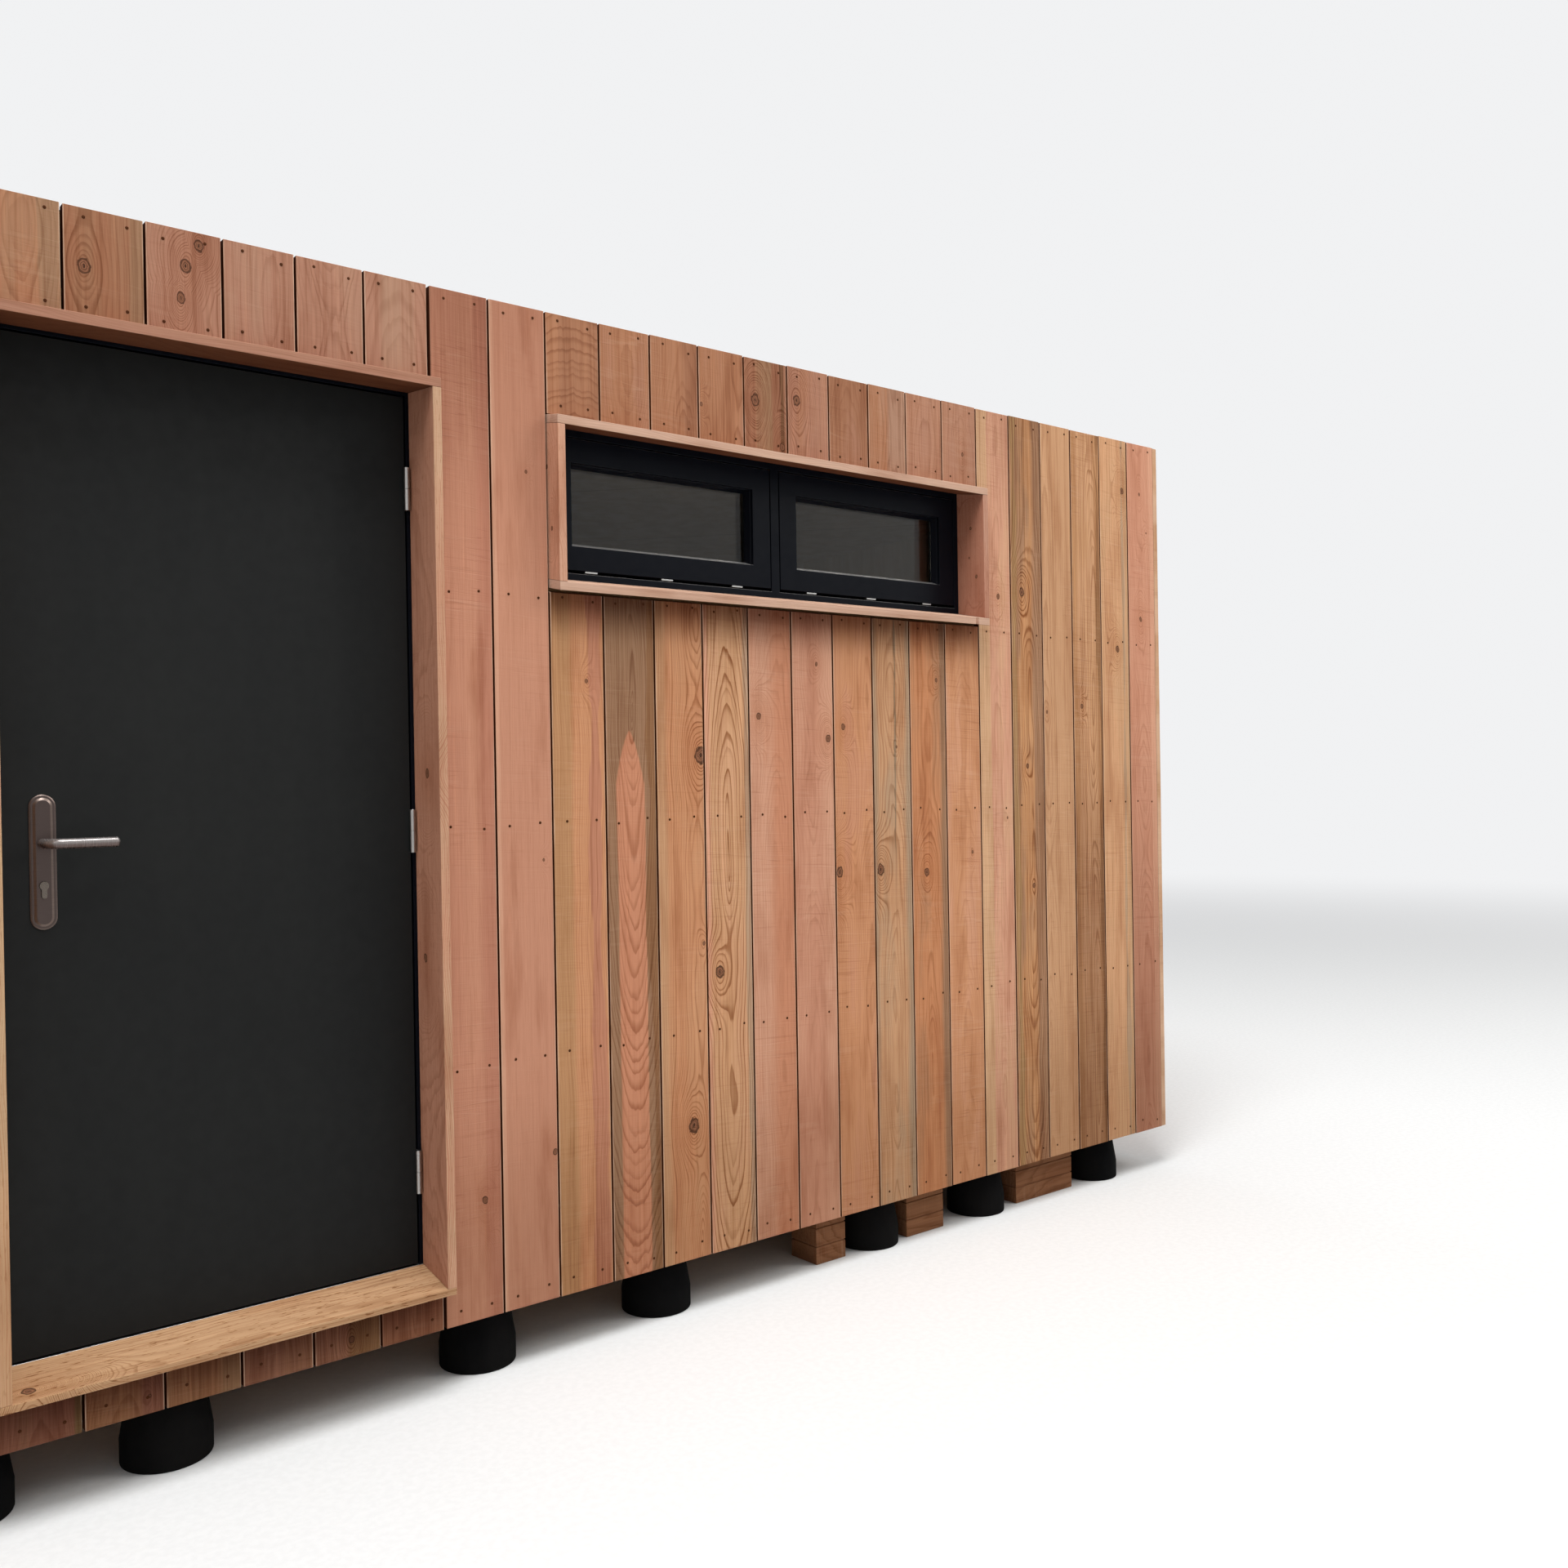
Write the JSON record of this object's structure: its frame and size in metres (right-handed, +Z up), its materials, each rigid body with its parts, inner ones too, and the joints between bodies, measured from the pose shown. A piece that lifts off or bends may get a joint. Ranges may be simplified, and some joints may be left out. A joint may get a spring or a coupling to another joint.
{
  "type": "garden office pod",
  "caption": "Flat-roofed garden office pod clad in vertical sawn boards, with a flush outward-opening door in a deep lining and a wide two-sash window, on low pads and piers.",
  "frame": {"origin": "middle of the plan at ground level, under the middle foundation pad", "axes": "+X along the front from the door towards the window, -Y out of the front, +Z up"},
  "size_m": [3.944, 2.7194, 2.501],
  "materials": {
    "pad_black": "matt black, slightly dusty",
    "pier_timber": "rough-sawn reddish timber",
    "frame_timber": "sawn softwood",
    "floor_boards": "planed softwood boards, satin",
    "wall_panel": "pale plywood facing",
    "batten_timber": "treated softwood",
    "cladding_timber": "fine-sawn, unfinished, pink to ochre with dark knots",
    "lining_timber": "planed, unfinished",
    "door_black": "matt black powder coat",
    "threshold_metal": "mill finish",
    "satin_steel": "satin",
    "cylinder_metal": "satin nickel over brass",
    "window_paint": "satin blue-black coat",
    "glass": "clear float glass",
    "membrane_rubber": "matt black sheet",
    "trim_black": "matt dark coat",
    "gutter_black": "smooth black"
  },
  "bodies": {
    "shell": {"foundation_pads": "pad_black", "timber_piers": "pier_timber", "middle_bearer": "frame_timber", "long_rims": "frame_timber", "end_rims": "frame_timber", "floor_joists": "frame_timber", "floor_deck": "floor_boards", "front_wall_panels": "wall_panel", "front_wall_infills": "wall_panel", "rear_wall": "wall_panel", "side_walls": "wall_panel", "front_battens": "batten_timber", "rear_battens": "batten_timber", "side_battens": "batten_timber", "front_cladding": "cladding_timber", "rear_cladding": "cladding_timber", "left_cladding": "cladding_timber", "right_cladding": "cladding_timber", "door_jamb_linings": "lining_timber", "door_head_lining": "lining_timber", "door_sill": "lining_timber", "window_jamb_linings": "lining_timber", "window_head_lining": "lining_timber", "window_sill": "lining_timber", "door_frame": "door_black", "door_threshold": "threshold_metal", "hinge_frame_halves": "satin_steel", "window_frame": "window_paint", "window_sashes": "window_paint", "window_glass": "glass", "sash_clips": "satin_steel", "roof_panel": "wall_panel", "roof_membrane": "membrane_rubber", "front_kerb": "frame_timber", "side_kerbs": "frame_timber", "roof_trim": "trim_black", "gutter": "gutter_black", "gutter_brackets": "gutter_black", "rainwater_pipe": "gutter_black", "pipe_clips": "gutter_black"},
    "door": {"door_leaf": "door_black", "hinge_leaf_halves": "satin_steel", "handle_plates": "satin_steel", "lock_cylinder": "cylinder_metal"},
    "lever": {"levers": "satin_steel"}
  },
  "joints": [
    {"name": "door_swing", "type": "hinge", "parent": "shell", "child": "door", "pos_m": [-0.774, -1.203, 1.272], "axis": [0, 0, 1], "range_deg": [0, 90]},
    {"name": "lever_turn", "type": "hinge", "parent": "door", "child": "lever", "pos_m": [-1.536, -1.195, 1.272], "axis": [0, 1, 0], "range_deg": [0, 40], "stiffness_Nm_per_rad": 2, "springref_deg": -28.65}
  ]
}
